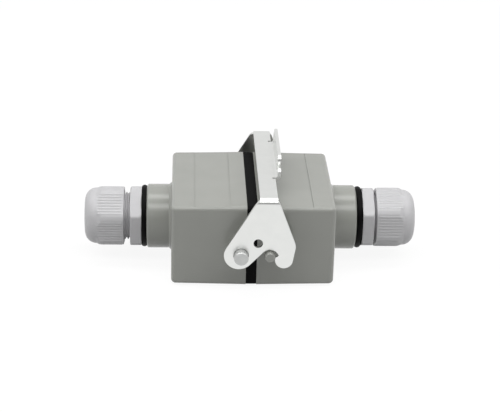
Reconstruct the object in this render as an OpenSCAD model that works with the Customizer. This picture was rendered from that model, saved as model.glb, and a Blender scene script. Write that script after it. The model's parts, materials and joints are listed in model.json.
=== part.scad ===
// Heavy duty rectangular connector, mated and locked. Two housings close on a
// profile gasket, one U-shaped lever clamps them, and a cable gland is screwed
// into the neck of each. Contact inserts are mated inside.
// X runs along the cables, Y along the lever's pivot axis, and Z is up.

/* [Housings] */
// Depth of both housings at their mating faces, along the pivot axis
housing_depth = 73; // [72:1:90]
// Height of both housings at their mating faces
housing_height = 43; // [41:0.5:56]
// Length of the housing that carries the lever
coupler_length = 37.1; // [36:0.1:60]
// Length of the housing that has the locking pegs
hood_length = 38.6; // [37:0.1:60]
// Thickness of the housing walls
wall = 3; // [2.5:0.1:3.5]
// Draft angle of the side walls
draft = 0.8; // [0:0.1:1.2]
// Straight land at the mating face, where the draft starts
rim_land = 0.6; // [0.3:0.1:1.5]
// Radius of the long edges
edge_r = 2.6; // [1.5:0.1:3.5]
// Radius of the edges at the cable end
end_r = 2.3; // [1.5:0.1:3]
// Radius of the cavity's long edges
cavity_r = 2; // [1:0.1:3]
// Depth of the plain panel sunk into each long face
panel_depth = 0.45; // [0.2:0.05:0.8]
// Distance from the mating face to the sunk panel
panel_start = 8; // [6:0.1:10]
// Distance from the sunk panel to the cable end
panel_margin = 11.25; // [8:0.1:14]

/* [Necks] */
// Thickness of the necks' walls round the entry thread
neck_wall = 3.85; // [3.5:0.05:5]
// Length of the cable necks
neck_length = 12.6; // [11:0.1:20]
// Chamfer at the free end of each neck
neck_chamfer = 0.8; // [0.4:0.1:1.5]
// Collar that blends each neck into its housing
neck_collar = 0.9; // [0.5:0.1:1.4]

/* [Gasket] */
// Thickness of the gasket between the housings
gasket_t = 5.25; // [4:0.05:7]
// How far the gasket's rim stays inside the housings' outline
gasket_inset = 0.25; // [0.1:0.05:0.5]
// Thickness of the collar that plugs into the coupler housing
gasket_collar_t = 1.2; // [1:0.1:1.5]
// Length of that collar
gasket_collar_l = 4; // [2:0.1:4.4]

/* [Lever] */
// Thickness of the lever's steel strip
strip_t = 1.5; // [1.2:0.1:2]
// Space between the housing's end faces and the lever's arms
arm_gap = 8; // [7:0.1:10]
// Space between the top of the housings and the bail
bail_gap = 6.8; // [6:0.1:9]
// Width of the bail
bail_w = 8.6; // [8:0.1:11]
// Distance from the pivot axis to the bail's near edge, along the cables
bail_offset = 8.6; // [7.6:0.1:9.4]
// Outside radius of the two bends of the bail
bend_r = 3; // [2.5:0.1:4]
// Radius of the arm's round end at the pivot
lobe_r = 7.35; // [6.8:0.05:8]
// How far that round end is shifted away from the pegs
lobe_shift = 1; // [0:0.1:1.5]
// Radius of the hook
hook_r = 4.35; // [3.8:0.05:4.8]
// Angle from the pivot axis down to the middle of the hook
hook_angle = 6.5; // [5:0.1:8]
// Radius of the arm's shoulder over the hook
shoulder_r = 7; // [6:0.1:8]
// Distance from the hook's middle back to the shoulder's middle
shoulder_back = 1.5; // [0.5:0.05:2]
// Distance from the hook's middle up to the shoulder's middle
shoulder_rise = 7; // [6:0.1:8]
// Free height over the peg under the arm's arch
arch_clearance = 0.75; // [0.5:0.05:1]
// How much wider than the peg the arch is
arch_flare = 2.25; // [2:0.05:2.6]
// Radius of the notch at the root of the hook
notch_r = 1.43; // [1.2:0.01:1.6]
// Distance from the peg's side to the middle of that notch
notch_forward = 0.5; // [0.3:0.05:0.7]
// Height of the notch's middle over the pivot axis
notch_rise = 0.6; // [0.4:0.05:0.8]
// Radial play between the peg and the hook as the lever swings
release_play = 0.35; // [0.2:0.05:0.6]
// Diameter of the small hole in each arm
arm_hole_d = 4.6; // [3:0.1:5]
// Distance from the pivot axis to the small hole, along the cables
arm_hole_x = 8.2; // [7.8:0.1:9]
// Height of the small hole over the pivot axis
arm_hole_z = 6.55; // [6:0.05:7.5]

/* [Finger tab] */
// Height of the finger tab over the bail
tab_height = 8.3; // [6:0.1:10]
// Height of the tab's low step over the bail
tab_step_height = 4.1; // [3.5:0.1:5.5]
// Inside radius of the bend at the tab's root
tab_bend_r = 1; // [0.6:0.1:1.5]
// Lean of the tab away from upright
tab_lean = 4.4; // [0:0.1:8]
// Place of the tab's near end along the pivot axis
tab_near = -19; // [-26:0.5:-15]
// Place where the low step ends and the high part begins
tab_step = -4; // [-8:0.5:0]
// Place of the tab's far end
tab_far = 28.5; // [20:0.5:34]
// Width of the relief cuts beside the tab
relief_w = 1.2; // [0.8:0.1:2]

/* [Pins and pegs] */
// Diameter of the pivot pins
pin_d = 7; // [6:0.1:7.6]
// Radial running clearance of the lever on its pins
pin_clearance = 0.25; // [0.05:0.01:0.3]
// Distance from the coupler's mating face to the pivot axis
pivot_inset = 2.95; // [2.6:0.05:4]
// How far the pivot pins stand out of the arms
pin_proud = 4.2; // [2:0.1:5]
// Diameter of the locking pegs
peg_d = 4.8; // [4:0.1:5.4]
// Distance from the hood's mating face to the locking pegs
peg_inset = 5.8; // [5.6:0.05:6.5]
// How far the locking pegs stand out of the arms
peg_proud = 2.6; // [1.5:0.1:4]
// Diameter of each pivot pin's spacer, which holds the arm off the housing
spacer_d = 11; // [10:0.1:12]
// Side play between a spacer and its arm
spacer_play = 0.3; // [0.2:0.05:0.5]
// Depth of each pivot pin's foot in the housing wall
pin_foot = 2.2; // [1.5:0.1:2.4]
// Diameter of each pivot pin's foot
foot_d = 4.4; // [3:0.1:4.6]

/* [Glands] */
// Length of the thread that screws into the neck
entry_thread_l = 12; // [10:0.1:13]
// Shoulder of the hexagon's flats beside that thread
entry_shoulder = 2.1; // [1.6:0.05:2.3]
// Width across flats of the gland body's hexagon
hex_af = 29.2; // [28:0.1:30]
// Thickness of the hexagon
hex_t = 5.8; // [5:0.1:8]
// How far the O-ring stands out past the hexagon's flats
ring_rim = 1.2; // [0.8:0.05:1.4]
// How much the O-ring is squeezed onto the entry thread
ring_squeeze = 0.2; // [0.1:0.05:0.4]
// Thickness of the left O-ring, squeezed under its gland
left_ring_t = 2.6; // [2.4:0.05:3.3]
// Thickness of the right O-ring, squeezed under its gland
right_ring_t = 3.3; // [2.4:0.05:3.3]
// Shoulder of the hexagon's flats beside the nut's thread
thread_shoulder = 2.6; // [2.4:0.05:3]
// Length of the nut's thread
nut_thread_l = 11; // [9:0.1:12]
// Length of the clamping fingers
finger_l = 5; // [4:0.1:6]
// Thickness of the clamping fingers
finger_t = 1.2; // [0.8:0.1:1.4]
// Number of clamping fingers
finger_count = 10; // [6:1:12]
// Width of the slots between the fingers
finger_slot = 1.4; // [1:0.1:2]
// Length of a dome nut
nut_length = 19.9; // [19:0.1:24]
// How far the nut's flats lie inside the hexagon's flats
nut_step = 0.4; // [0.1:0.05:0.8]
// How far the nut's turned corners stand out past its flats
nut_corner_h = 1.4; // [0.8:0.05:1.8]
// Length of the nut's rounded nose
nose_l = 5.7; // [5:0.1:6.5]
// Length of the shoulder between the nut's grip and its nose
shoulder_l = 2.8; // [2:0.1:3.5]
// Radius of the hole that the cable passes in the nut's nose
nose_hole_r = 8.2; // [7.8:0.05:8.6]
// Number of grip ribs on each flat
ribs_per_flat = 8; // [4:1:8]
// Distance between grip ribs
rib_pitch = 1.55; // [1.3:0.05:1.6]
// Height of the grip ribs
rib_h = 0.3; // [0.2:0.05:0.4]
// Thread left showing between hexagon and nut on the left gland
left_nut_gap = 3.2; // [1:0.05:4]
// Thread left showing between hexagon and nut on the right gland
right_nut_gap = 1.45; // [0.6:0.05:4]
// Diameter of the hole in the rubber sealing sleeve
seal_bore_d = 14; // [12:0.1:16]
// How much wider than the nose's hole the sealing sleeve is, on each side
seal_rim = 0.9; // [0.6:0.1:1.2]
// Running clearance of the screwed and plugged gland pieces
gland_play = 0.15; // [0.1:0.01:0.2]

/* [Inserts] */
// Distance from each mating face down to the insert's flange
insert_inset = 5.75; // [5:0.05:6.5]
// Space between the inserts and the housing's cavity
insert_gap = 0.95; // [0.6:0.05:1.5]
// Thickness of the insert's flange
flange_t = 3; // [2.5:0.1:4]
// Distance from the flange's edges to the fixing screws
fixing_inset = 3.5; // [3.4:0.05:4]
// Number of contacts in each of the two rows
contacts_per_row = 5; // [5:1:5]
// Room for straps and fixing screws at each end of a row of contacts
row_end = 16; // [15.5:0.1:17]
// Distance between the two rows
row_spacing = 8; // [7.6:0.1:8.4]
// Diameter of the male pins
male_pin_d = 2.5; // [2:0.1:2.7]
// Clearance of a male pin in its socket
socket_clearance = 0.05; // [0.02:0.01:0.1]
// Diameter of the barrels that the insert grips
barrel_d = 4; // [3.6:0.1:4.2]
// Diameter of the wire clamps behind the barrels
clamp_d = 5.2; // [4.8:0.1:5.6]
// Thickness of the wall round a wire clamp's hole
clamp_wall = 0.9; // [0.7:0.1:1]
// Wall between the contacts and the sides of the plug-in tongue
tongue_wall = 1.4; // [1.2:0.1:1.8]
// Wall thickness of the shroud round the tongue
shroud_t = 2.2; // [1.6:0.1:2.4]
// Clearance between tongue and shroud
shroud_play = 0.3; // [0.2:0.05:0.5]
// Space left at the ends of the mated inserts
mate_gap = 0.5; // [0.3:0.1:1]
// How far the male pins stay short of the bottom of their sockets
pin_short = 3; // [2:0.1:4]
// Depth of the solid part at the root of each pin and socket
contact_root = 1; // [0.5:0.1:2]
// Length of the insert behind its flange
insert_back = 14; // [12:0.1:15]
// Half height of the insert behind its flange
back_half_h = 11.5; // [10:0.1:12.5]
// Thickness of the earth straps
strap_t = 1; // [0.8:0.1:1.2]
// Width of the earth straps
strap_w = 8; // [6:0.1:9]

/* [Screws] */
// Diameter of the insert fixing screws
fixing_d = 3.9; // [3:0.1:4]
// Head diameter of the fixing screws
head_d = 6.4; // [5.5:0.1:6.6]
// Head height of the fixing screws
head_h = 2.2; // [1.8:0.1:2.6]
// Length of the fixing screws under their heads
fixing_l = 10; // [8:0.1:12]
// Head diameter of the earth screws
earth_head_d = 4; // [3.6:0.1:4.2]
// Head height of the earth screws
earth_head_h = 1.6; // [1.2:0.1:2]
// Diameter of the terminal screws
terminal_d = 2.6; // [2.2:0.1:2.8]
// Length of the terminal screws
terminal_l = 4.5; // [4:0.1:5]

/* [Hidden] */
$fn = 48;
eps = 0.01;
hair = 0.002;
skin_play = 0.03;
collar_land = 0.4;
slot_w = 0.9;
slot_depth = 0.8;

sides = [-1, 1];
rows = [-1, 1];

// Axial places, measured from the middle of the gasket
face_x = gasket_t / 2;
coupler_end = face_x + coupler_length;
hood_end = face_x + hood_length;
pivot_x = -face_x - pivot_inset;
peg_x = face_x + peg_inset;
peg_reach = peg_x - pivot_x;
flange_x = face_x + insert_inset;

// Cavities
function draft_drop(length) = (length - rim_land) * tan(draft);
cavity_drop = draft_drop(max(coupler_length, hood_length));
cavity_w = housing_depth - 2 * (cavity_drop + wall);
cavity_h = housing_height - 2 * (cavity_drop + wall);
insert_w = cavity_w - 2 * insert_gap;
insert_h = cavity_h - 2 * insert_gap;
fixing_y = insert_w / 2 - fixing_inset;
fixing_z = insert_h / 2 - fixing_inset;

// Lever
arm_y = housing_depth / 2 + arm_gap;
lever_y = arm_y + strip_t;
bail_z = housing_height / 2 + bail_gap;
bail_top = bail_z + strip_t;
pin_r = pin_d / 2;
peg_r = peg_d / 2;
pin_chamfer = 0.4;
lobe_c = [-lobe_shift, 0];
hook_distance = peg_reach + peg_r + release_play + hook_r;
hook_c = hook_distance * [cos(hook_angle), -sin(hook_angle)];
shoulder_c = hook_c + [-shoulder_back, shoulder_rise];
arch_r = peg_r + arch_flare;
arch_c = [peg_reach, peg_r + arch_clearance - arch_r];
notch_c = [peg_reach + peg_r + notch_forward, notch_rise];

// Glands, along each gland's own axis from the inner face of its hexagon
flat_r = hex_af / 2;
hex_r = flat_r / cos(30);
hex_round_r = hex_r - 0.3;
entry_r = flat_r - entry_shoulder;
neck_r = entry_r + neck_wall;
ring_r = flat_r + ring_rim;
ring_section = ring_r - entry_r + ring_squeeze;
hex_chamfer = 0.5;
thread_end = hex_t + nut_thread_l;
finger_end = thread_end + finger_l;
finger_chamfer = 0.6;
seal_floor = 1;
seal_r = nose_hole_r + seal_rim;
seal_l = finger_end - seal_floor - 0.3;
finger_r = seal_r + gland_play + finger_t;
nut_thread_r = flat_r - thread_shoulder;
nut_flat_r = flat_r - nut_step;
nut_corner_r = nut_flat_r + nut_corner_h;
left_turn = 21;
right_turn = 26;
left_nut_turn = 18;
right_nut_turn = 33;

// Inserts and contacts
contact_pitch = (insert_w - 2 * row_end) / (contacts_per_row - 1);
tongue_w = (contacts_per_row - 1) * contact_pitch + barrel_d + 2 * (tongue_wall + 1);
tongue_h = row_spacing + barrel_d + 2 * tongue_wall;
shroud_w = tongue_w + 2 * (shroud_play + shroud_t);
shroud_h = tongue_h + 2 * (shroud_play + shroud_t);
engaged = 2 * flange_x - mate_gap;
clamp_floor = 2;
clamp_l = insert_back - clamp_floor;
clamp_screw_x = flange_t + clamp_l / 2;
terminal_slot = 0.6;
pin_tip = 0.9;
strap_y = (insert_w / 2 - 1 + shroud_w / 2) / 2;

contact_total = 2 * contacts_per_row;
socket_names = [for (i = [1:contact_total]) str("socket_contact_", i)];
pin_names = [for (i = [1:contact_total]) str("pin_contact_", i)];

// ---------- placing ----------

// The row's origin is under the middle of the whole connector, on its base.
left_seat = coupler_end + neck_length + left_ring_t;
right_seat = hood_end + neck_length + right_ring_t;
left_tip = left_seat + hex_t + left_nut_gap + nut_length;
right_tip = right_seat + hex_t + right_nut_gap + nut_length;

module in_frame() {
    translate([(left_tip - right_tip) / 2, 0, housing_height / 2]) children();
}

// A child drawn from the mating face towards +X goes to the coupler's side.
module on_coupler_side() {
    translate([-face_x, 0, 0]) mirror([1, 0, 0]) children();
}

module on_hood_side() {
    translate([face_x, 0, 0]) children();
}

// A gland piece is drawn along +Z from the inner face of the gland's hexagon.
module at_left_gland() {
    translate([-left_seat, 0, 0]) rotate([0, -90, 0]) children();
}

module at_right_gland() {
    translate([right_seat, 0, 0]) rotate([0, 90, 0]) children();
}

// Linear extrusion along X of an outline drawn in Y and Z.
module along_x(length) {
    rotate([90, 0, 90]) linear_extrude(length) children();
}

// Linear extrusion along Y, about the XZ plane, of an outline drawn in X and Z.
module along_y(length) {
    rotate([90, 0, 0]) linear_extrude(length, center = true) children();
}

module corners(y, z) {
    for (sy = sides, sz = sides) translate([0, sy * y, sz * z]) children();
}

module rounded_rect(w, h, r) {
    square([w - 2 * r, h], center = true);
    square([w, h - 2 * r], center = true);
    for (sy = sides, sz = sides)
        translate([sy * (w / 2 - r), sz * (h / 2 - r)]) circle(r);
}

// ---------- tangents ----------

function polar(c, r, a) = c + r * [cos(a), sin(a)];
function bearing(v) = atan2(v[1], v[0]);
// Angle on a circle where the tangent from point p touches it
function point_tangent(p, c, r, side) = bearing(p - c) + side * acos(r / norm(p - c));
// Angle on both circles where their outer tangent touches them
function outer_tangent(c1, r1, c2, r2, side) =
    bearing(c2 - c1) + side * acos((r1 - r2) / norm(c2 - c1));
// Angle on the first circle where the tangent crossing between the two touches it
function cross_tangent(c1, r1, c2, r2, side) =
    bearing(c2 - c1) + side * acos((r1 + r2) / norm(c2 - c1));

// ---------- housings, drawn from the mating face towards +X ----------

module housing_form(length) {
    drop = draft_drop(length);
    hull() {
        corners(housing_depth / 2 - edge_r, housing_height / 2 - edge_r)
            rotate([0, 90, 0]) cylinder(r = edge_r, h = rim_land, $fn = 32);
        translate([length - end_r, 0, 0])
            corners(housing_depth / 2 - drop - end_r, housing_height / 2 - drop - end_r)
                sphere(end_r, $fn = 32);
    }
}

module neck(length) {
    translate([length - wall / 2, 0, 0]) rotate([0, 90, 0]) rotate_extrude($fn = 96)
        polygon([
            [0, 0],
            [neck_r, 0],
            [neck_r + neck_collar, wall / 2],
            [neck_r + neck_collar, wall / 2 + collar_land],
            [neck_r, wall / 2 + collar_land + neck_collar],
            [neck_r, wall / 2 + neck_length - neck_chamfer],
            [neck_r - neck_chamfer, wall / 2 + neck_length],
            [0, wall / 2 + neck_length]
        ]);
}

module sunk_panel(length) {
    for (s = sides)
        translate([rim_land, 0, s * housing_height / 2]) rotate([0, s * draft, 0])
            translate([panel_start - rim_land, -housing_depth / 2 - 1, s > 0 ? -panel_depth : -5])
                cube([length - panel_start - panel_margin, housing_depth + 2, 5 + panel_depth]);
}

// Bosses in the cavity's corners that the insert's flange is screwed to
module corner_posts(length) {
    post_l = length - wall / 2 - insert_inset - flange_t;
    translate([insert_inset + flange_t, 0, 0]) for (sy = sides, sz = sides)
        to_corner(sy, sz) difference() {
            union() {
                translate([0, fixing_y, fixing_z]) rotate([0, 90, 0])
                    cylinder(d = head_d + 0.4, h = post_l);
                translate([0, fixing_y - 1, fixing_z - 1])
                    cube([post_l, cavity_w / 2 + 1.5 - fixing_y, cavity_h / 2 + 1.5 - fixing_z]);
            }
            translate([-eps, fixing_y, fixing_z]) rotate([0, 90, 0])
                cylinder(d = fixing_d + 2 * skin_play, h = fixing_l);
        }
}

module to_corner(sy, sz) {
    mirror([0, sy < 0 ? 1 : 0, 0]) mirror([0, 0, sz < 0 ? 1 : 0]) children();
}

module housing_shell(length) {
    difference() {
        union() {
            housing_form(length);
            neck(length);
        }
        sunk_panel(length);
        translate([-1, 0, 0]) along_x(length - wall + 1)
            rounded_rect(cavity_w, cavity_h, cavity_r);
        rotate([0, 90, 0])
            cylinder(r = entry_r + gland_play, h = length + neck_length + 1, $fn = 96);
    }
    corner_posts(length);
}

// Blind holes in the end faces for the feet of the pivot pins
module pin_holes() {
    translate([pivot_inset, 0, 0]) for (s = sides) rotate([-90 * s, 0, 0])
        translate([0, 0, housing_depth / 2 - pin_foot]) cylinder(d = foot_d + 2 * skin_play, h = wall);
}

module coupler_housing() {
    color([0.52, 0.53, 0.51]) in_frame() on_coupler_side() difference() {
        housing_shell(coupler_length);
        pin_holes();
    }
}

module hood_housing() {
    color([0.52, 0.53, 0.51]) in_frame() on_hood_side() {
        housing_shell(hood_length);
        translate([peg_inset, 0, 0]) for (s = sides) rotate([-90 * s, 0, 0])
            translate([0, 0, housing_depth / 2 - wall]) locking_peg();
    }
}

module locking_peg() {
    peg_l = wall + arm_gap + strip_t + peg_proud;
    rotate_extrude() polygon([
        [0, 0], [peg_r + 1, 0], [peg_r + 1, wall], [peg_r, wall + 1],
        [peg_r, peg_l - pin_chamfer], [peg_r - pin_chamfer, peg_l], [0, peg_l]
    ]);
}

// ---------- gasket ----------

module profile_gasket() {
    color([0.07, 0.07, 0.075]) in_frame() difference() {
        union() {
            translate([-face_x, 0, 0]) along_x(gasket_t)
                rounded_rect(housing_depth - 2 * gasket_inset,
                             housing_height - 2 * gasket_inset, edge_r - gasket_inset);
            translate([-face_x - gasket_collar_l, 0, 0]) along_x(gasket_collar_l)
                rounded_rect(cavity_w - 0.1, cavity_h - 0.1, cavity_r);
        }
        translate([-flange_x, 0, 0]) along_x(2 * flange_x)
            rounded_rect(cavity_w - 2 * gasket_collar_t, cavity_h - 2 * gasket_collar_t,
                         cavity_r - 0.6);
    }
}

// ---------- lever, outline drawn from the pivot axis ----------

// It is cut as a flat blank, so its slanted edges run on through the bends.
bend_z = bail_top - bend_r;
bend_l = (bend_r - strip_t / 2) * PI / 2;
blank_left = [bail_offset, bend_z + bend_l];
blank_right = [bail_offset + bail_w, bend_z + bend_l];
lobe_top_a = point_tangent(blank_left, lobe_c, lobe_r, 1);
lobe_low_a = cross_tangent(lobe_c, lobe_r, arch_c, arch_r, -1);
shoulder_top_a = point_tangent(blank_right, shoulder_c, shoulder_r, -1);
hook_side_a = outer_tangent(shoulder_c, shoulder_r, hook_c, hook_r, 1);

// Corners lie a hair inside the circles that the straight edges run into
function on_circle(c, r, a) = polar(c, r - hair, a);

// A blank's edge from foot to tip, seen along the pivot axis as it passes the bend
function bent_edge(foot, tip, angles) = [
    for (a = angles) let (share = (bend_z + bend_l * a / 90 - foot[1]) / (tip[1] - foot[1]))
        [foot[0] + share * (tip[0] - foot[0]), bend_z + (bend_r - strip_t) * sin(a)]
];

module arm_outline() {
    lobe_top = on_circle(lobe_c, lobe_r, lobe_top_a);
    shoulder_top = on_circle(shoulder_c, shoulder_r, shoulder_top_a);
    difference() {
        union() {
            translate(lobe_c) circle(lobe_r);
            translate(shoulder_c) circle(shoulder_r);
            polygon([
                each bent_edge(lobe_top, blank_left, [0:15:90]),
                [bail_offset, bail_top],
                [bail_offset + bail_w, bail_top],
                each bent_edge(shoulder_top, blank_right, [90:-15:0]),
                shoulder_top,
                on_circle(shoulder_c, shoulder_r, hook_side_a),
                on_circle(hook_c, hook_r, hook_side_a),
                hook_c,
                on_circle(arch_c, arch_r, lobe_low_a + 180),
                on_circle(lobe_c, lobe_r, lobe_low_a),
                lobe_c,
                lobe_top
            ]);
        }
        translate(arch_c) circle(arch_r);
        circle(pin_r + pin_clearance);
        translate([arm_hole_x, arm_hole_z]) circle(d = arm_hole_d);
    }
    difference() {
        translate(hook_c) circle(hook_r);
        translate(notch_c) circle(notch_r);
    }
}

// The strip's path over the housings: down one side, across and down the other
module arch_band(y, top, r, foot) {
    translate([-y, -foot]) square([2 * y, foot + top - r]);
    translate([-y + r, -foot]) square([2 * (y - r), foot + top]);
    for (s = sides) translate([s * (y - r), top - r]) circle(r);
}

module folded_strip() {
    foot = lobe_r + housing_height / 2;
    reach = hook_c[0] + shoulder_r;
    intersection() {
        along_y(2 * lever_y + 2) arm_outline();
        translate([-reach, 0, 0]) along_x(2 * reach) difference() {
            arch_band(lever_y, bail_top, bend_r, foot);
            translate([0, -1]) arch_band(arm_y, bail_z + 1, bend_r - strip_t, foot);
        }
    }
}

// Section of the finger tab: a bend out of the bail's edge and a leaning leaf
tab_root = bail_offset + bail_w;

module tab_section() {
    outer_r = tab_bend_r + strip_t;
    translate([tab_root, bail_top + tab_bend_r]) {
        intersection() {
            difference() {
                circle(outer_r);
                circle(tab_bend_r);
            }
            polygon([[0, 0], [0, -2 * outer_r], [2 * outer_r, -2 * outer_r],
                     2 * outer_r * [cos(tab_lean), -sin(tab_lean)]]);
        }
        rotate(-tab_lean) translate([tab_bend_r, 0]) square([strip_t, tab_height]);
        translate([-2, -outer_r]) square([2 + eps, strip_t]);
    }
}

// Shape of the tab seen along the cables: a high leaf and a low step, round-ended
module leaf(near, far, h, r) {
    translate([near + r, 0]) square([far - near - 2 * r, h]);
    translate([near, 0]) square([far - near, h - r]);
    for (y = [near + r, far - r]) translate([y, h - r]) circle(r);
}

module tab_shape() {
    translate([0, bail_z]) {
        leaf(tab_step, tab_far, strip_t + tab_height, 3);
        leaf(tab_near, tab_step - 2, strip_t + tab_step_height, 2.5);
        translate([tab_near, 0]) square([tab_far - tab_near, strip_t + tab_bend_r + 1]);
    }
}

module finger_tab() {
    intersection() {
        translate([0, (tab_far + tab_near) / 2, 0])
            along_y(tab_far - tab_near) tab_section();
        translate([tab_root - 2, 0, 0]) along_x(20) tab_shape();
    }
}

module relief_cuts() {
    for (y = [tab_near - relief_w, tab_far])
        translate([tab_root - 1.5, y, bail_z - 1]) cube([3, relief_w, strip_t + 2]);
}

module locking_lever() {
    color([0.80, 0.81, 0.81]) in_frame() translate([pivot_x, 0, 0]) {
        difference() {
            folded_strip();
            relief_cuts();
        }
        finger_tab();
    }
}

// ---------- pivot pins, turned with a foot, a spacer and a journal ----------

module pivot_pin(side) {
    root = housing_depth / 2;
    spacer_r = spacer_d / 2;
    spacer_end = arm_y - spacer_play;
    tip = lever_y + pin_proud;
    color([0.74, 0.75, 0.75]) in_frame() translate([pivot_x, 0, 0]) rotate([-90 * side, 0, 0])
        rotate_extrude() polygon([
            [0, root - pin_foot], [foot_d / 2, root - pin_foot], [foot_d / 2, root],
            [spacer_r, root],
            [spacer_r, spacer_end], [pin_r, spacer_end],
            [pin_r, tip - pin_chamfer], [pin_r - pin_chamfer, tip], [0, tip]
        ]);
}

module front_pivot_pin() pivot_pin(-1);
module back_pivot_pin() pivot_pin(1);

// ---------- glands, drawn along +Z from the inner face of the hexagon ----------

module hexagon(turn, r, h) {
    rotate(turn) cylinder(r = r, h = h, $fn = 6);
}

module gland_body(turn) {
    color([0.76, 0.76, 0.77]) difference() {
        union() {
            translate([0, 0, -entry_thread_l])
                cylinder(r = entry_r, h = entry_thread_l + 1, $fn = 96);
            intersection() {
                hexagon(turn, hex_r, hex_t);
                rotate_extrude($fn = 96) polygon([
                    [0, 0], [hex_round_r - hex_chamfer, 0], [hex_round_r, hex_chamfer],
                    [hex_round_r, hex_t - hex_chamfer], [hex_round_r - 2 * hex_chamfer, hex_t], [0, hex_t]
                ]);
            }
            translate([0, 0, hex_t - eps]) cylinder(r = nut_thread_r, h = nut_thread_l, $fn = 96);
            fingers();
        }
        translate([0, 0, seal_floor])
            cylinder(r = seal_r + gland_play, h = finger_end, $fn = 96);
        translate([0, 0, -entry_thread_l - 1])
            cylinder(r = seal_r - 1, h = entry_thread_l + hex_t, $fn = 96);
    }
}

module fingers() {
    top = finger_l + 1;
    difference() {
        translate([0, 0, thread_end - 1]) rotate_extrude($fn = 96) polygon([
            [0, 0], [finger_r, 0], [finger_r, top - finger_chamfer], [finger_r - finger_chamfer, top],
            [0, top]
        ]);
        for (i = [0:finger_count - 1]) rotate(360 * i / finger_count)
            translate([0, -finger_slot / 2, thread_end + 0.6])
                cube([finger_r + 1, finger_slot, finger_l]);
    }
}

module gland_o_ring(t) {
    centre_r = ring_r - ring_section / 2;
    color([0.05, 0.05, 0.055]) rotate_extrude($fn = 96) intersection() {
        translate([centre_r, -t / 2]) circle(d = ring_section);
        translate([entry_r + eps, -t]) square([ring_section, t]);
    }
}

module gland_seal() {
    color([0.12, 0.12, 0.125]) translate([0, 0, seal_floor]) rotate_extrude($fn = 96) polygon([
        [seal_bore_d / 2, 0], [seal_r, 0], [seal_r, seal_l - seal_rim], [seal_r - seal_rim, seal_l],
        [seal_bore_d / 2, seal_l]
    ]);
}

module nut_outline() {
    nose_start = nut_length - nose_l;
    overlap = 0.2;
    edge = 0.5;
    rotate_extrude($fn = 96) {
        square([nut_flat_r, nose_start]);
        square([nut_flat_r - nose_l, nut_length]);
        translate([nut_flat_r - nose_l, nose_start]) intersection() {
            circle(nose_l);
            square(nose_l);
        }
    }
    intersection() {
        hexagon(0, nut_flat_r / cos(30), nut_length);
        rotate_extrude($fn = 96) polygon([
            [0, 0], [nut_corner_r - edge, 0], [nut_corner_r, edge],
            [nut_corner_r, nose_start - shoulder_l],
            [nut_flat_r - overlap, nose_start + overlap], [0, nose_start + overlap]
        ]);
    }
    grip_ribs(edge, nose_start - 1);
}

module grip_ribs(from, to) {
    rib_w = rib_pitch / 2;
    for (flat = [0:5]) rotate(60 * flat + 30) for (i = [0:ribs_per_flat - 1])
        translate([nut_flat_r - 1, (i - (ribs_per_flat - 1) / 2) * rib_pitch - rib_w / 2, from])
            cube([1 + rib_h, rib_w, to - from]);
}

module gland_nut(gap, turn) {
    cone_start = nut_length - nose_l - 2;
    color([0.76, 0.76, 0.77]) translate([0, 0, hex_t + gap]) rotate(turn) difference() {
        nut_outline();
        translate([0, 0, -1]) rotate_extrude($fn = 96) polygon([
            [0, 0], [nut_thread_r + gland_play, 0], [nut_thread_r + gland_play, cone_start + 1],
            [nose_hole_r, nut_length - 1.5], [nose_hole_r, nut_length + 2], [0, nut_length + 2]
        ]);
    }
}

module left_gland_body() in_frame() at_left_gland() gland_body(left_turn - 90);
module right_gland_body() in_frame() at_right_gland() gland_body(270 - right_turn);
module left_gland_nut() in_frame() at_left_gland() gland_nut(left_nut_gap, left_nut_turn - 90);
module right_gland_nut() in_frame() at_right_gland() gland_nut(right_nut_gap, 270 - right_nut_turn);
module left_gland_o_ring() in_frame() at_left_gland() gland_o_ring(left_ring_t);
module right_gland_o_ring() in_frame() at_right_gland() gland_o_ring(right_ring_t);
module left_gland_seal() in_frame() at_left_gland() gland_seal();
module right_gland_seal() in_frame() at_right_gland() gland_seal();

// ---------- inserts, drawn from the flange's front face backwards along +X ----------

module on_female_flange() {
    translate([-flange_x, 0, 0]) mirror([1, 0, 0]) children();
}

module on_male_flange() {
    translate([flange_x, 0, 0]) children();
}

function contact_place(i) = [
    0,
    (floor(i / 2) - (contacts_per_row - 1) / 2) * contact_pitch,
    rows[i % 2] * row_spacing / 2
];

module at_contacts() {
    for (i = [0:contact_total - 1]) translate(contact_place(i)) children();
}

module x_cylinder(r, from, to) {
    translate([from, 0, 0]) rotate([0, 90, 0]) cylinder(r = r, h = to - from, $fn = 32);
}

module insert_base() {
    difference() {
        union() {
            along_x(flange_t) rounded_rect(insert_w, insert_h, cavity_r);
            translate([flange_t - eps, 0, 0]) along_x(insert_back)
                rounded_rect(tongue_w + 1, 2 * back_half_h, 1);
        }
        corners(fixing_y, fixing_z) x_cylinder(fixing_d / 2 + gland_play, -1, flange_t + 1);
        for (s = sides) translate([0, s * strap_y, 0])
            x_cylinder(terminal_d / 2 + skin_play, -1, flange_t + 1);
        at_contacts() x_cylinder(clamp_d / 2 + skin_play, flange_t, flange_t + insert_back + 1);
        for (i = [0:contact_total - 1]) translate(contact_place(i))
            translate([clamp_screw_x, 0, 0]) mirror([0, 0, i % 2 == 0 ? 1 : 0])
                cylinder(d = terminal_d + 0.4, h = housing_height, $fn = 32);
    }
}

module female_insert() {
    color([0.20, 0.20, 0.21]) in_frame() on_female_flange() difference() {
        union() {
            insert_base();
            translate([-engaged, 0, 0]) along_x(engaged + 1) rounded_rect(tongue_w, tongue_h, 1.5);
        }
        at_contacts() x_cylinder(barrel_d / 2 + skin_play, -engaged - 1, flange_t + 1);
    }
}

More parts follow.
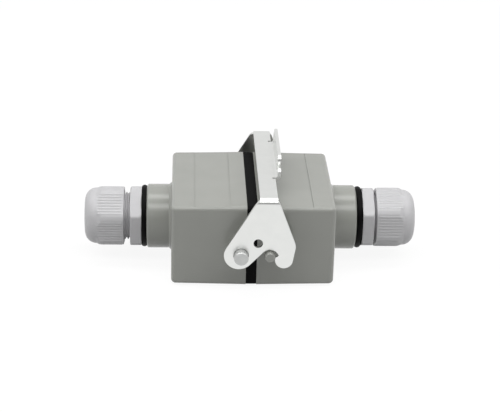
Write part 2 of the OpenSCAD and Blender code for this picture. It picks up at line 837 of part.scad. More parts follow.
module male_insert() {
    color([0.20, 0.20, 0.21]) in_frame() on_male_flange() difference() {
        union() {
            insert_base();
            translate([-engaged, 0, 0]) along_x(engaged + 1) difference() {
                rounded_rect(shroud_w, shroud_h, 1.5 + shroud_t);
                rounded_rect(tongue_w + 2 * shroud_play, tongue_h + 2 * shroud_play, 1.5);
            }
        }
        at_contacts() x_cylinder(barrel_d / 2 + skin_play, -1, flange_t + 1);
    }
}

// ---------- contacts ----------

// The part of a contact behind the flange, with its wire hole and screw hole
module wire_clamp(i) {
    difference() {
        x_cylinder(clamp_d / 2, flange_t, flange_t + clamp_l);
        x_cylinder(clamp_d / 2 - clamp_wall, flange_t + clamp_floor, flange_t + clamp_l + 1);
        translate([clamp_screw_x, 0, 0]) mirror([0, 0, i % 2 == 0 ? 1 : 0])
            cylinder(d = terminal_d + 2 * skin_play, h = clamp_d, $fn = 32);
    }
}

module socket_contact(i) {
    color([0.72, 0.68, 0.52]) in_frame() on_female_flange() translate(contact_place(i)) {
        difference() {
            x_cylinder(barrel_d / 2, -engaged + mate_gap, flange_t);
            x_cylinder(male_pin_d / 2 + socket_clearance, -engaged - 1, -contact_root);
        }
        wire_clamp(i);
    }
}

module pin_contact(i) {
    pin_l = engaged - pin_short;
    color([0.72, 0.68, 0.52]) in_frame() on_male_flange() translate(contact_place(i)) {
        rotate([0, -90, 0]) rotate_extrude($fn = 32) polygon([
            [0, -contact_root], [male_pin_d / 2, -contact_root],
            [male_pin_d / 2, pin_l - pin_tip], [(male_pin_d - pin_tip) / 2, pin_l], [0, pin_l]
        ]);
        x_cylinder(barrel_d / 2, 0, flange_t);
        wire_clamp(i);
    }
}

// ---------- screws, drawn with the head's underside at 0 and the shank along -Z ----------

module slotted_screw(d, l, head_dia, head_height) {
    difference() {
        union() {
            translate([0, 0, -l]) cylinder(d = d, h = l + eps, $fn = 32);
            cylinder(d = head_dia, h = head_height, $fn = 32);
        }
        translate([-head_dia, -slot_w / 2, head_height - slot_depth])
            cube([2 * head_dia, slot_w, slot_depth + 1]);
    }
}

module insert_fixing_screws() {
    color([0.70, 0.71, 0.72]) in_frame() {
        on_female_flange() corners(fixing_y, fixing_z) rotate([0, -90, 0])
            slotted_screw(fixing_d, fixing_l, head_d, head_h);
        on_male_flange() corners(fixing_y, fixing_z) rotate([0, -90, 0])
            slotted_screw(fixing_d, fixing_l, head_d, head_h);
    }
}

module terminal_screw_set() {
    for (i = [0:contact_total - 1]) translate(contact_place(i))
        translate([clamp_screw_x, 0, 0]) mirror([0, 0, i % 2 == 0 ? 1 : 0])
            translate([0, 0, terminal_slot]) difference() {
                cylinder(d = terminal_d, h = terminal_l, $fn = 32);
                translate([-terminal_d, -terminal_slot / 2, terminal_l - terminal_slot])
                    cube([2 * terminal_d, terminal_slot, 1]);
            }
}

module terminal_screws() {
    color([0.70, 0.71, 0.72]) in_frame() {
        on_female_flange() terminal_screw_set();
        on_male_flange() terminal_screw_set();
    }
}

module earth_screws() {
    color([0.55, 0.62, 0.45]) in_frame() for (s = sides) {
        on_female_flange() translate([-strap_t, s * strap_y, 0]) rotate([0, -90, 0])
            slotted_screw(terminal_d, strap_t + flange_t, earth_head_d, earth_head_h);
        on_male_flange() translate([-strap_t, s * strap_y, 0]) rotate([0, -90, 0])
            slotted_screw(terminal_d, strap_t + flange_t, earth_head_d, earth_head_h);
    }
}

// ---------- earth straps ----------

// A strap lies on the flange and its blade stands up outside the shroud.
module earth_strap(side, blade_y, blade_l) {
    low = min(blade_y, strap_y - 2.6);
    high = max(blade_y + strap_t, insert_w / 2 - 0.6);
    mirror([0, side < 0 ? 1 : 0, 0]) difference() {
        union() {
            translate([-strap_t, low, -strap_w / 2]) cube([strap_t, high - low, strap_w]);
            translate([-blade_l, blade_y, -strap_w / 2]) cube([blade_l, strap_t, strap_w]);
        }
        translate([0, strap_y, 0]) x_cylinder(terminal_d / 2 + skin_play, -strap_t - 1, 1);
    }
}

blade_y = insert_w / 2 - 2 * strap_t - 1;
blade_l = 2 * flange_x - strap_t - mate_gap;

module female_front_earth_strap()
    color([0.74, 0.70, 0.50]) in_frame() on_female_flange() earth_strap(-1, blade_y, blade_l);
module female_back_earth_strap()
    color([0.74, 0.70, 0.50]) in_frame() on_female_flange() earth_strap(1, blade_y, blade_l);
module male_front_earth_strap()
    color([0.74, 0.70, 0.50]) in_frame() on_male_flange()
        earth_strap(-1, blade_y + strap_t, blade_l);
module male_back_earth_strap()
    color([0.74, 0.70, 0.50]) in_frame() on_male_flange()
        earth_strap(1, blade_y + strap_t, blade_l);

coupler_housing();
hood_housing();
profile_gasket();
locking_lever();
front_pivot_pin();
back_pivot_pin();
female_insert();
male_insert();
insert_fixing_screws();
terminal_screws();
earth_screws();
female_front_earth_strap();
female_back_earth_strap();
male_front_earth_strap();
male_back_earth_strap();
left_gland_body();
right_gland_body();
left_gland_nut();
right_gland_nut();
left_gland_o_ring();
right_gland_o_ring();
left_gland_seal();
right_gland_seal();
for (i = [0:contact_total - 1]) {
    socket_contact(i);
    pin_contact(i);
}
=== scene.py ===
"""Heavy duty rectangular connector, mated and locked: its finishes, fine forms and studio."""
import json
from math import cos, pi, radians, sin, tan

import bmesh
import bpy
from mathutils import Matrix, Vector


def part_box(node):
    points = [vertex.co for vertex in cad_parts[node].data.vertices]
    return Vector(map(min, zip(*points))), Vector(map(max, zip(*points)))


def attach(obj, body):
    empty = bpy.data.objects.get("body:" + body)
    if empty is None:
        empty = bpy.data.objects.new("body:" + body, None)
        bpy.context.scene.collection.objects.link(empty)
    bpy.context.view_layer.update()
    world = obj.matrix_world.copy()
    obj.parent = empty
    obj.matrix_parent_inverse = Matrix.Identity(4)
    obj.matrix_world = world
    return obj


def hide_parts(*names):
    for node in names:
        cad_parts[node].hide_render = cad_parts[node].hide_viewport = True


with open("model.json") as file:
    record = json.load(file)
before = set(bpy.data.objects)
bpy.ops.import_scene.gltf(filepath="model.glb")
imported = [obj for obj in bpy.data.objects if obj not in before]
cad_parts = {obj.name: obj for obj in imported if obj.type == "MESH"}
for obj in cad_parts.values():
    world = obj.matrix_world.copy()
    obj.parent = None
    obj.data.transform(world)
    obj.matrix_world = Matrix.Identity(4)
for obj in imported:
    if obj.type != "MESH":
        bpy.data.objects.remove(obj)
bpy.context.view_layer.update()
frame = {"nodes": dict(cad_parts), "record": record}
MM = 0.001


# ---------- places taken from the frame ----------

def low(node):
    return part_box(node)[0]


def high(node):
    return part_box(node)[1]


def middle(node):
    return (low(node) + high(node)) / 2


GASKET_THICKNESS = 5.25 * MM
AXIS_Z = middle("left_gland_o_ring").z
CENTRE = Vector((low("hood_housing").x - GASKET_THICKNESS / 2, 0, AXIS_Z))
FLOOR_Z = low("coupler_housing").z


# ---------- shaders ----------

class Wire:
    """A shader socket that takes part in sums and products."""

    def __init__(self, shader, socket):
        self.shader = shader
        self.socket = socket

    def math(self, operation, other):
        return self.shader.node("Math", {"operation": operation}, (self, other))

    def __add__(self, other):
        return self.math("ADD", other)

    def __mul__(self, other):
        return self.math("MULTIPLY", other)

    def __rsub__(self, other):
        return self * -1.0 + other


class Shader:
    """The nodes of a material or world, made one at a time and joined by their values."""

    def __init__(self, owner):
        owner.use_nodes = True
        self.owner = owner
        self.tree = owner.node_tree
        self.tree.nodes.clear()

    def node(self, kind, settings=None, sockets=(), output=0):
        """Adds a node, fills or joins its sockets and gives one of its outputs."""
        made = self.tree.nodes.new("ShaderNode" + kind)
        for name, value in (settings or {}).items():
            setattr(made, name, value)
        pairs = sockets.items() if isinstance(sockets, dict) else enumerate(sockets)
        for name, value in pairs:
            if isinstance(value, Wire):
                self.tree.links.new(value.socket, made.inputs[name])
            else:
                made.inputs[name].default_value = value
        return Wire(self, made.outputs[output]) if made.outputs else None

    def place(self):
        """Where a point lies on the piece at rest, in metres."""
        return self.node("TexCoord", output="Object")

    def grain(self, x, y, z):
        """The place in lengths of x, y and z, so that a cloud there is drawn out."""
        return self.node("Mapping", {}, {"Vector": self.place(), "Scale": (1 / x, 1 / y, 1 / z)})

    def cloud(self, size, detail=3.0, place=None):
        """Noise from 0 to 1 whose blots are about size across."""
        sockets = {"Vector": place or self.place(), "Scale": 1 / size, "Detail": detail}
        return self.node("TexNoise", {}, sockets, "Fac")

    def steep(self, value, start, end):
        """value turned into 0 below start and 1 above end."""
        sockets = {"Value": value, "From Min": start, "From Max": end}
        return self.node("MapRange", {"interpolation_type": "SMOOTHSTEP"}, sockets)

    def between(self, share, start, end):
        """A colour that goes from start to end as share goes from 0 to 1."""
        return self.node("Mix", {"data_type": "RGBA"}, {0: share, 6: rgba(start), 7: rgba(end)}, 2)

    def bumps(self, height, depth):
        """Normals of a surface that height, from 0 to 1, raises by up to depth."""
        return self.node("Bump", {}, {"Height": height, "Distance": depth})

    def surface(self, **sockets):
        """Ends the material in one Principled surface. A _ stands for a space in a socket's name."""
        named = {name.replace("_", " "): value for name, value in sockets.items()}
        made = self.node("BsdfPrincipled", {}, named)
        self.node("OutputMaterial", {}, {"Surface": made})
        return self.owner


def rgba(colour):
    """A colour as it looks on a screen, or a grey level, turned into light."""
    if isinstance(colour, Wire):
        return colour
    if isinstance(colour, float):
        colour = (colour,) * 3
    return (*[((c + 0.055) / 1.055) ** 2.4 if c > 0.04 else c / 12.92 for c in colour], 1.0)


def new_shader(name):
    return Shader(bpy.data.materials.new(name))


# ---------- finishes ----------

def housing_lacquer():
    """Satin powder coat on a die casting: fine orange peel and slightly cloudy gloss."""
    s = new_shader("grey_housing_lacquer")
    cloudy = s.cloud(14 * MM, 1.0)
    tone = s.between(cloudy, (0.577, 0.582, 0.561), (0.599, 0.604, 0.583))
    peel = s.cloud(1.2 * MM, 0.0)
    return s.surface(
        Base_Color=tone,
        Roughness=cloudy * 0.05 + 0.2,
        Normal=s.bumps(peel, 0.004 * MM),
    )


def gasket_rubber():
    """Matt moulded rubber with a dusty bloom."""
    s = new_shader("black_gasket_rubber")
    bloom = s.cloud(2.5 * MM)
    tone = s.between(bloom, (0.03, 0.03, 0.031), (0.065, 0.065, 0.066))
    return s.surface(
        Base_Color=tone,
        Roughness=bloom * 0.15 + 0.6,
        Specular_IOR_Level=0.06,
        Normal=s.bumps(s.cloud(0.4 * MM, 2.0), 0.02 * MM),
    )


def zinc_plate():
    """Bright zinc on rolled strip: soft mottling, faint rolling marks and small scuffs."""
    s = new_shader("zinc_plated_steel")
    mottle = s.cloud(5 * MM, 3.0)
    rolled = s.cloud(1.0, 2.0, s.grain(0.2 * MM, 8 * MM, 8 * MM))
    scuffs = s.steep(s.cloud(1.0, 3.0, s.grain(1.2 * MM, 3 * MM, 3 * MM)), 0.66, 0.78)
    tone = s.between(mottle, (0.878, 0.884, 0.876), (0.914, 0.917, 0.908))
    return s.surface(
        Base_Color=tone,
        Metallic=1.0,
        Roughness=mottle * 0.03 + rolled * 0.02 + scuffs * 0.03 + 0.29,
        Normal=s.bumps(mottle * 0.6 + rolled * 0.4, 0.006 * MM),
    )


def turned_steel():
    """Turned pins: fine rings round the axis and a few stains."""
    s = new_shader("turned_steel")
    rings = s.cloud(1.0, 2.0, s.grain(4 * MM, 0.12 * MM, 4 * MM))
    stain = s.cloud(2.0 * MM)
    tone = s.between(stain, (0.74, 0.745, 0.74), (0.82, 0.825, 0.82))
    return s.surface(
        Base_Color=tone,
        Metallic=1.0,
        Roughness=rings * 0.1 + stain * 0.1 + 0.5,
        Normal=s.bumps(rings, 0.015 * MM),
    )


def insert_moulding():
    """Glass-filled contact insert: dull, with pale fibres in the skin."""
    s = new_shader("insert_moulding")
    fibres = s.steep(s.cloud(1.0, 2.0, s.grain(1.5 * MM, 0.2 * MM, 0.2 * MM)), 0.62, 0.75)
    tone = s.between(fibres, (0.235, 0.235, 0.24), (0.31, 0.31, 0.315))
    return s.surface(
        Base_Color=tone,
        Roughness=fibres * 0.1 + 0.5,
        Normal=s.bumps(fibres, 0.01 * MM),
    )


def screw_steel():
    """Blue-white plated screws with small dull spots."""
    s = new_shader("screw_steel")
    spots = s.cloud(0.8 * MM)
    tone = s.between(spots, (0.74, 0.76, 0.78), (0.85, 0.86, 0.87))
    return s.surface(Base_Color=tone, Metallic=1.0, Roughness=spots * 0.15 + 0.285)


def plated_brass():
    """Silver-plated brass that has begun to tarnish."""
    s = new_shader("plated_brass")
    tarnish = s.cloud(1.6 * MM)
    tone = s.between(tarnish, (0.86, 0.83, 0.74), (0.80, 0.74, 0.58))
    return s.surface(Base_Color=tone, Metallic=1.0, Roughness=tarnish * 0.15 + 0.285)


def gland_nylon():
    """Light grey moulded nylon: a soft sheen with flow marks along the moulding."""
    s = new_shader("light_grey_nylon")
    flow = s.cloud(1.0, 2.0, s.grain(5 * MM, 1.6 * MM, 1.6 * MM))
    fine = s.cloud(0.25 * MM, 1.0)
    tone = s.between(flow * 0.7 + fine * 0.3, (0.722, 0.720, 0.727), (0.764, 0.762, 0.769))
    return s.surface(
        Base_Color=tone,
        Roughness=flow * 0.1 + 0.4,
        Normal=s.bumps(flow * 0.5 + fine * 0.5, 0.006 * MM),
    )


def o_ring_rubber():
    """Smooth black ring, slightly greasy."""
    s = new_shader("o_ring_rubber")
    grease = s.cloud(2.0 * MM)
    tone = s.between(grease, (0.02, 0.02, 0.021), (0.04, 0.04, 0.041))
    return s.surface(Base_Color=tone, Roughness=grease * 0.15 + 0.4, Specular_IOR_Level=0.06)


def seal_rubber():
    """Dull sealing sleeve with a fine moulded grain."""
    s = new_shader("seal_rubber")
    grain = s.cloud(0.5 * MM, 2.0)
    tone = s.between(grain, (0.20, 0.20, 0.205), (0.26, 0.26, 0.265))
    return s.surface(
        Base_Color=tone,
        Roughness=grain * 0.2 + 0.55,
        Normal=s.bumps(grain, 0.02 * MM),
    )


FINISHES = {
    "grey_housing_lacquer": housing_lacquer(),
    "black_gasket_rubber": gasket_rubber(),
    "zinc_plated_steel": zinc_plate(),
    "turned_steel": turned_steel(),
    "insert_moulding": insert_moulding(),
    "screw_steel": screw_steel(),
    "plated_brass": plated_brass(),
    "light_grey_nylon": gland_nylon(),
    "o_ring_rubber": o_ring_rubber(),
    "seal_rubber": seal_rubber(),
}


# ---------- carried-over pieces ----------

def finish_nodes():
    """Every piece of the frame takes its own finish."""
    slots = {part["node"]: part["material_slot"] for part in frame["record"]["subparts"]}
    for name, piece in frame["nodes"].items():
        piece.data.materials.clear()
        piece.data.materials.append(FINISHES[slots[name]])


# The step of the lever's finger tab: how much of the lever's height it takes, where it lies along
# the pivot axis, and how far it moves to the front
LEAF_HEIGHT = 6.4 * MM
STEP_START = -8.6 * MM
STEP_END = -0.9 * MM
STEP_SHIFT = 8 * MM


def stepped_lever():
    """The locking lever, whose high leaf comes further to the front before the tab steps down."""
    leaf_foot = high("locking_lever").z - LEAF_HEIGHT
    mesh = frame["nodes"]["locking_lever"].data.copy()
    for vertex in mesh.vertices:
        if vertex.co.z > leaf_foot and STEP_START < vertex.co.y < STEP_END:
            vertex.co.y -= STEP_SHIFT
    made = bpy.data.objects.new("stepped_lever", mesh)
    bpy.context.collection.objects.link(made)
    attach(made, "lever")
    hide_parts("locking_lever")
    return made


# How wide the rounded edges of the castings, the gasket and the folded strip are
CAST_EDGE = 0.2 * MM
GASKET_EDGE = 0.3 * MM
STRIP_EDGE = 0.2 * MM
# Points nearer than this are one, faces flatter than this are one, and edges sharper than this
# are rounded
WELD_GAP = 0.002 * MM
PLAIN_ANGLE = radians(0.5)
SHARP_ANGLE = radians(30)
EDGE_SEGMENTS = 3


def soften(piece, width):
    """Rounds the sharp edges of a piece."""
    piece.modifiers.new("join", "WELD").merge_threshold = WELD_GAP
    flat = piece.modifiers.new("plain faces", "DECIMATE")
    flat.decimate_type = "DISSOLVE"
    flat.angle_limit = PLAIN_ANGLE
    rounding = piece.modifiers.new("rounded edges", "BEVEL")
    rounding.width = width
    rounding.segments = EDGE_SEGMENTS
    rounding.limit_method = "ANGLE"
    rounding.angle_limit = SHARP_ANGLE
    rounding.use_clamp_overlap = True
    shading = piece.modifiers.new("plain faces look plain", "WEIGHTED_NORMAL")
    shading.mode = "FACE_AREA"
    shading.weight = 50
    for face in piece.data.polygons:
        face.use_smooth = True


def soften_edges():
    nodes = frame["nodes"]
    soften(nodes["coupler_housing"], CAST_EDGE)
    soften(nodes["hood_housing"], CAST_EDGE)
    soften(nodes["profile_gasket"], GASKET_EDGE)
    soften(stepped_lever(), STRIP_EDGE)


# ---------- glands ----------

# Radii and lengths of the body. FLAT is the distance from the axis to a flat, ROUND the radius
# that turns off the corners, and BORE, HOLE and CREST are radii too.
HEX_FLAT = 14.6 * MM
HEX_LENGTH = 5.8 * MM
HEX_ROUND = HEX_FLAT / cos(radians(30)) - 0.3 * MM
HEX_CHAMFER = 0.5 * MM
ENTRY_RADIUS = 12.5 * MM
ENTRY_LENGTH = 12 * MM
THREAD_CREST = 12.1 * MM
THREAD_DEPTH = 0.85 * MM
THREAD_PITCH = 1.5 * MM
THREAD_LENGTH = 11 * MM
THREAD_RUNOUT = 0.8 * MM
FINGER_LENGTH = 5 * MM
FINGER_RADIUS = 10.45 * MM
FINGER_SLOT = 1.4 * MM
FINGERS = 10
SLOT_BOTTOM = 0.6 * MM
SEAL_BORE = 9.25 * MM
SEAL_FLOOR = 1 * MM
CABLE_BORE = 8.1 * MM
BODY_BEVEL = 0.6 * MM
# The nut
NUT_FLAT = 14.2 * MM
NUT_CORNER = 15.6 * MM
NUT_BORE = 12.15 * MM
NUT_MOUTH = 0.4 * MM
NOSE = 5.7 * MM
NOSE_HOLE = 8.2 * MM
SHOULDER = 2.8 * MM
RIBS_PER_FLAT = 8
RIB_PITCH = 1.55 * MM
RIB_HEIGHT = 0.22 * MM
# Moulded edges of both, and how finely both are divided round the axis and along it
EDGE = 0.25 * MM
BODY_COLUMNS = 360
NUT_COLUMNS = 576
EDGE_ROWS = 4
FLAT_ROWS = 6
THREAD_ROWS = 67
GRIP_ROWS = 24
NOSE_ROWS = 15
# Skins: points nearer than this are one, and edges sharper than this stay sharp
SKIN_GAP = 0.0005 * MM
CREASE = radians(40)


def clamp(value, least=0.0, most=1.0):
    return max(least, min(most, value))


def ease(value, start, end):
    """Goes smoothly from 0 at start to 1 at end."""
    share = clamp((value - start) / (end - start))
    return share * share * (3 - 2 * share)


def lesser(a, b, blend):
    """The smaller of two radii, rounded off where they meet."""
    share = clamp(0.5 + 0.5 * (b - a) / blend)
    return b + (a - b) * share - blend * share * (1 - share)


def off_flat(up, corner_up):
    """Angle from the middle of the nearest flat of a hexagon with a corner at corner_up."""
    return (up - corner_up) % radians(60) - radians(30)


def steps(start, end, count):
    """count places from start to end, both ends among them."""
    return [start + (end - start) * i / (count - 1) for i in range(count)]


def skin(name, columns, rows):
    """A closed skin round the glands' axis.

    Each row is a function that gives x and radius at an angle, counted up from the front.
    """
    angles = [2 * pi * i / columns for i in range(columns)]
    points = []
    for row in rows:
        for up in angles:
            x, radius = row(up)
            points.append((x, -radius * cos(up), AXIS_Z + radius * sin(up)))
    faces = []
    for j in range(len(rows)):
        this, after = j * columns, (j + 1) % len(rows) * columns
        for i in range(columns):
            k = (i + 1) % columns
            faces.append((this + i, this + k, after + k, after + i))
    mesh = bpy.data.meshes.new(name)
    mesh.from_pydata(points, [], faces)
    tidy = bmesh.new()
    tidy.from_mesh(mesh)
    bmesh.ops.remove_doubles(tidy, verts=tidy.verts, dist=SKIN_GAP)
    bmesh.ops.recalc_face_normals(tidy, faces=tidy.faces)
    tidy.to_mesh(mesh)
    tidy.free()
    mesh.shade_smooth()
    mesh.set_sharp_from_angle(angle=CREASE)
    made = bpy.data.objects.new(name, mesh)
    bpy.context.collection.objects.link(made)
    return made


class Gland:
    """One gland. Places along it are measured outwards from the inner face of its hexagon.

    outward is 1 or -1 along X, and hex_corner and nut_corner are the angles of a corner in degrees.
    """

    def __init__(self, side, outward, hex_corner, nut_corner):
        self.side = side
        self.outward = outward
        self.hex_corner = radians(hex_corner)
        self.nut_corner = radians(nut_corner)
        self.seat = self.far_end("o_ring")
        self.nut_tip = self.place_of(self.far_end("nut"))
        self.nut_start = self.place_of(self.near_end("nut"))

    def ends(self, piece):
        node = f"{self.side}_gland_{piece}"
        return sorted((low(node).x, high(node).x), key=lambda x: x * self.outward)

    def near_end(self, piece):
        return self.ends(piece)[0]

    def far_end(self, piece):
        return self.ends(piece)[1]

    def place_of(self, x):
        return (x - self.seat) * self.outward

    def ring(self, place, radius):
        """A row of the skin, where place and radius are lengths or functions of the angle."""

        def row(up):
            along = place(up) if callable(place) else place
            wide = radius(up) if callable(radius) else radius
            return self.seat + self.outward * along, wide
        return row

    def rings(self, shape, places):
        """Rows at several places, where shape gives the radius for a place and an angle."""
        return [self.ring(place, lambda up, place=place: shape(place, up)) for place in places]

    def finish(self, piece, body, node):
        piece.data.materials.append(FINISHES["light_grey_nylon"])
        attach(piece, body)
        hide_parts(node)

    # the body

    def hexagon(self, place, up):
        """Radius of the hexagon with its turned chamfers and softened edges."""
        from_end = min(place, HEX_LENGTH - place)
        flat = HEX_FLAT / cos(off_flat(up, self.hex_corner)) - clamp(EDGE - from_end, 0, EDGE) * 0.6
        chamfer = clamp(HEX_CHAMFER - place, 0, HEX_CHAMFER)
        chamfer += 2 * clamp(HEX_CHAMFER - (HEX_LENGTH - place), 0, HEX_CHAMFER)
        return lesser(flat, HEX_ROUND - chamfer, 0.3 * MM)

    def thread(self, place, up):
        """Radius of the right-hand thread, which runs out at both ends."""
        from_end = min(place - HEX_LENGTH, HEX_LENGTH + THREAD_LENGTH - place)
        turns = (place - HEX_LENGTH) / THREAD_PITCH + self.outward * up / (2 * pi)
        from_crest = abs((turns + 0.5) % 1.0 - 0.5) * 2
        ridge = 1 - ease(from_crest, 0.2, 0.75)
        return THREAD_CREST - THREAD_DEPTH * (1 - ridge * ease(from_end, 0, THREAD_RUNOUT))

    def slotted(self, place):
        """A place on the fingers, drawn back to the bottom of the slots between them."""
        bottom = HEX_LENGTH + THREAD_LENGTH + SLOT_BOTTOM

        def along(up):
            half = pi / FINGERS
            off_slot = abs((up - radians(90) + half) % (2 * half) - half)
            return bottom if off_slot * FINGER_RADIUS < FINGER_SLOT / 2 else place
        return along

    def body(self):
        """Entry thread's core, hexagon, nut thread and clamping fingers, with the seal's bore."""
        thread_end = HEX_LENGTH + THREAD_LENGTH
        finger_end = thread_end + FINGER_LENGTH
        rows = [
            self.ring(-ENTRY_LENGTH, ENTRY_RADIUS - BODY_BEVEL),
            self.ring(BODY_BEVEL - ENTRY_LENGTH, ENTRY_RADIUS),
            self.ring(0, ENTRY_RADIUS),
            *self.rings(self.hexagon, steps(0, EDGE, EDGE_ROWS)),
            *self.rings(self.hexagon, steps(HEX_CHAMFER, HEX_LENGTH - HEX_CHAMFER, FLAT_ROWS)),
            *self.rings(self.hexagon, steps(HEX_LENGTH - EDGE, HEX_LENGTH, EDGE_ROWS)),
            *self.rings(self.thread, steps(HEX_LENGTH, thread_end, THREAD_ROWS)),
            self.ring(thread_end, FINGER_RADIUS),
            self.ring(self.slotted(finger_end - BODY_BEVEL), FINGER_RADIUS),
            self.ring(self.slotted(finger_end), FINGER_RADIUS - BODY_BEVEL),
            self.ring(self.slotted(finger_end), SEAL_BORE),
            self.ring(thread_end, SEAL_BORE),
            self.ring(SEAL_FLOOR, SEAL_BORE),
            self.ring(SEAL_FLOOR, CABLE_BORE),
            self.ring(-ENTRY_LENGTH, CABLE_BORE),
        ]
        node = f"{self.side}_gland_body"
        self.finish(skin(f"{self.side}_threaded_body", BODY_COLUMNS, rows), "connector", node)

    # the nut

    def grip(self, place, up):
        """Radius of the nut's ribbed grip, with turned corners and a coned shoulder."""
        along = place - self.nut_start
        to_nose = self.nut_tip - NOSE - place
        off = off_flat(up, self.nut_corner)
        cone = clamp(to_nose / SHOULDER) * (NUT_CORNER - NUT_FLAT)
        blend = 0.02 * MM + 0.4 * MM * ease(to_nose, 0, SHOULDER)
        radius = lesser(NUT_FLAT / cos(off), NUT_FLAT + cone, blend)
        across = NUT_FLAT * tan(off) / RIB_PITCH + RIBS_PER_FLAT / 2
        if 0 < across < RIBS_PER_FLAT:
            height = RIB_HEIGHT * (0.5 - 0.5 * cos(2 * pi * across))
            radius += height * ease(along, 0.3 * MM, 1 * MM) * ease(to_nose, 0.6 * MM, 1.6 * MM)
        edge = clamp(EDGE - along, 0, EDGE)
        return radius - edge * edge / EDGE

    def nose(self):
        """Rows of the rounded nose."""
        start = self.nut_tip - NOSE
        return [
            self.ring(start + NOSE * sin(angle), NUT_FLAT - NOSE + NOSE * cos(angle))
            for angle in steps(0, pi / 2, NOSE_ROWS)[1:]
        ]

    def nut(self):
        """Ribbed grip, rounded nose and the hole through both."""
        start, tip = self.nut_start, self.nut_tip
        rows = [
            self.ring(start, NUT_BORE + NUT_MOUTH),
            *self.rings(self.grip, steps(start, start + EDGE, EDGE_ROWS)),
            *self.rings(self.grip, steps(start + 0.5 * MM, tip - NOSE, GRIP_ROWS)),
            *self.nose(),
            self.ring(tip - 0.3 * MM, NOSE_HOLE),
            self.ring(tip - 1.5 * MM, NOSE_HOLE),
            self.ring(tip - NOSE - 2 * MM, NUT_BORE),
            self.ring(start + NUT_MOUTH, NUT_BORE),
        ]
        node = f"{self.side}_gland_nut"
        self.finish(skin(f"{self.side}_ribbed_nut", NUT_COLUMNS, rows), f"{self.side}_nut", node)


def glands():
    left = Gland("left", outward=-1, hex_corner=21, nut_corner=18)
    right = Gland("right", outward=1, hex_corner=26, nut_corner=33)
    for gland in (left, right):
        gland.body()
        gland.nut()


# ---------- studio ----------

# The camera's direction from the connector's middle, its distance, and how far it is moved aside
TURN = radians(-2.66)
RISE = radians(24.34)
ROLL = radians(1.48)
DISTANCE = 781.9 * MM
AIM_RIGHT = 0.4 * MM
AIM_UP = 5.19 * MM
FOCAL_LENGTH = 109.54
SENSOR = 36.0


def camera():
    """Looks along the pivot axis from the front, a little from above."""
    data = bpy.data.cameras.new("camera")
    data.lens = FOCAL_LENGTH
    data.sensor_width = SENSOR
    back = Vector((sin(TURN) * cos(RISE), -cos(TURN) * cos(RISE), sin(RISE)))
    level = Vector((0, 0, 1)).cross(back).normalized()
    upright = back.cross(level)
    right = cos(ROLL) * level + sin(ROLL) * upright
    up = cos(ROLL) * upright - sin(ROLL) * level
    seat = CENTRE + back * DISTANCE + right * AIM_RIGHT + up * AIM_UP
    made = bpy.data.objects.new("camera", data)
    turned = Matrix((right, up, back)).transposed().to_4x4()
    made.matrix_world = Matrix.Translation(seat) @ turned
    bpy.context.collection.objects.link(made)
    bpy.context.scene.camera = made


def seen(s):
    """1 for rays that show the surroundings, to the camera or in a reflection."""
    camera_ray = s.node("LightPath", output="Is Camera Ray")
    glossy_ray = s.node("LightPath", output="Is Glossy Ray")
    through_ray = s.node("LightPath", output="Is Transmission Ray")
    return (camera_ray + glossy_ray + through_ray).math("MINIMUM", 1.0)


# Light that the room gives, all round and from both sides
AMBIENT = 0.18
SIDE_GLOW = 0.6
# How much darker than white the room's front and back are in reflections
FRONT_SHADE = 0.7
BACK_SHADE = 0.15
# Where the room changes from one to the other, as parts of a unit direction
FRONT_EDGE = (0.25, -0.05)
FRONT_TOP = (0.78, 0.66)
BACK_EDGE = (0.55, 0.88)
TABLE_EDGE = (-0.1, 0.05)
SIDE_EDGE = (0.2, 0.8)


def surroundings():
    """A room that is white to the camera, with a dark front and a dimmer back in reflections.

    As a lamp it is much dimmer, and brightest at its two sides.
    """
    world = bpy.data.worlds.new("studio")
    bpy.context.scene.world = world
    s = Shader(world)
    direction = s.node("TexCoord", output="Generated")
    x = s.node("SeparateXYZ", {}, {"Vector": direction}, "X")
    y = s.node("SeparateXYZ", {}, {"Vector": direction}, "Y")
    z = s.node("SeparateXYZ", {}, {"Vector": direction}, "Z")
    in_front = s.steep(y, *FRONT_EDGE) * s.steep(z, *FRONT_TOP) * FRONT_SHADE
    behind = s.steep(y, *BACK_EDGE) * BACK_SHADE
    above_table = s.steep(z, *TABLE_EDGE)
    reflected = 1.0 - (in_front + behind) * above_table
    camera_ray = s.node("LightPath", output="Is Camera Ray")
    shown = s.node("Mix", {"data_type": "FLOAT"}, {0: camera_ray, 2: reflected, 3: 1.0})
    lamp = s.steep(x * x, *SIDE_EDGE) * SIDE_GLOW + AMBIENT
    level = s.node("Mix", {"data_type": "FLOAT"}, {0: seen(s), 2: lamp, 3: shown})
    light = s.node("Background", {}, {"Color": (1, 1, 1, 1), "Strength": level})
    s.node("OutputWorld", {}, {"Surface": light})


def soft_lamp(name, place, aim, wide, deep, power):
    data = bpy.data.lights.new(name, "AREA")
    data.shape = "RECTANGLE"
    data.size = wide
    data.size_y = deep
    data.energy = power
    made = bpy.data.objects.new(name, data)
    made.location = place
    made.rotation_mode = "QUATERNION"
    made.rotation_quaternion = (Vector(aim) - Vector(place)).to_track_quat("-Z", "Y")
    bpy.context.collection.objects.link(made)


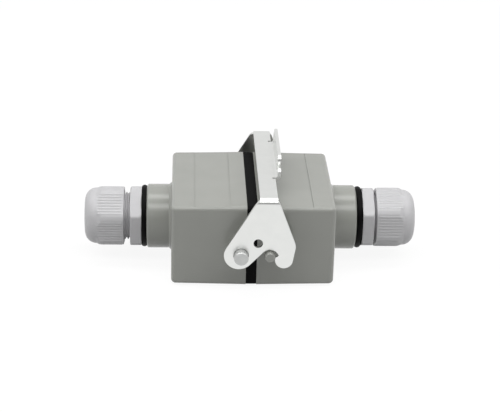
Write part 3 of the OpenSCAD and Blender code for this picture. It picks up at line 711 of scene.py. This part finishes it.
# Light of the strips, their width and how far away they hang
STRIP_GLOW = 3.7
STRIP_WIDTH = 3.0
STRIP_DISTANCE = 1.0


def strip(name, elevation, height):
    """A wide soft box at an elevation from the front, height degrees tall to the connector."""
    away = Vector((0, -cos(radians(elevation)), sin(radians(elevation)))) * STRIP_DISTANCE
    tall = 2 * STRIP_DISTANCE * tan(radians(height / 2))
    power = STRIP_GLOW * pi * tall * STRIP_WIDTH
    soft_lamp(name, CENTRE + away, CENTRE, STRIP_WIDTH, tall, power)


def lamps():
    strip("front strip", elevation=58, height=16)
    strip("top strip", elevation=97, height=18)


FLOOR_REACH = 3.0
# The table as it is seen: mostly a glow, with some white paint that takes the shadow
FLOOR_GLOW = 0.88
FLOOR_LIGHT = 1.03
PAINT_TONE = 0.93
# The table as it lights the connector
FLOOR_TONE = 0.68
TONE_SPREAD = 0.02


def floor():
    """A pale table that keeps a faint shadow of the object and throws little light back."""
    mesh = bpy.data.meshes.new("floor")
    square = [(-1, -1), (1, -1), (1, 1), (-1, 1)]
    corners = [(x * FLOOR_REACH, y * FLOOR_REACH, FLOOR_Z) for x, y in square]
    mesh.from_pydata(corners, [], [(0, 1, 2, 3)])
    made = bpy.data.objects.new("floor", mesh)
    bpy.context.collection.objects.link(made)
    s = new_shader("pale_table")
    grain = s.cloud(4 * MM)
    white = s.between(grain, PAINT_TONE, PAINT_TONE + TONE_SPREAD)
    grey = s.between(grain, FLOOR_TONE, FLOOR_TONE + TONE_SPREAD)
    paint = s.node("BsdfDiffuse", {}, {"Color": white})
    dull = s.node("BsdfDiffuse", {}, {"Color": grey})
    glow = s.node("Emission", {}, {"Color": (1, 1, 1, 1), "Strength": FLOOR_LIGHT})
    lit = s.node("MixShader", {}, [FLOOR_GLOW, paint, glow])
    chosen = s.node("MixShader", {}, [seen(s), dull, lit])
    s.node("OutputMaterial", {}, {"Surface": chosen})
    mesh.materials.append(s.owner)


camera()
surroundings()
lamps()
floor()
finish_nodes()
soften_edges()
glands()
bpy.context.scene.view_settings.view_transform = "Standard"
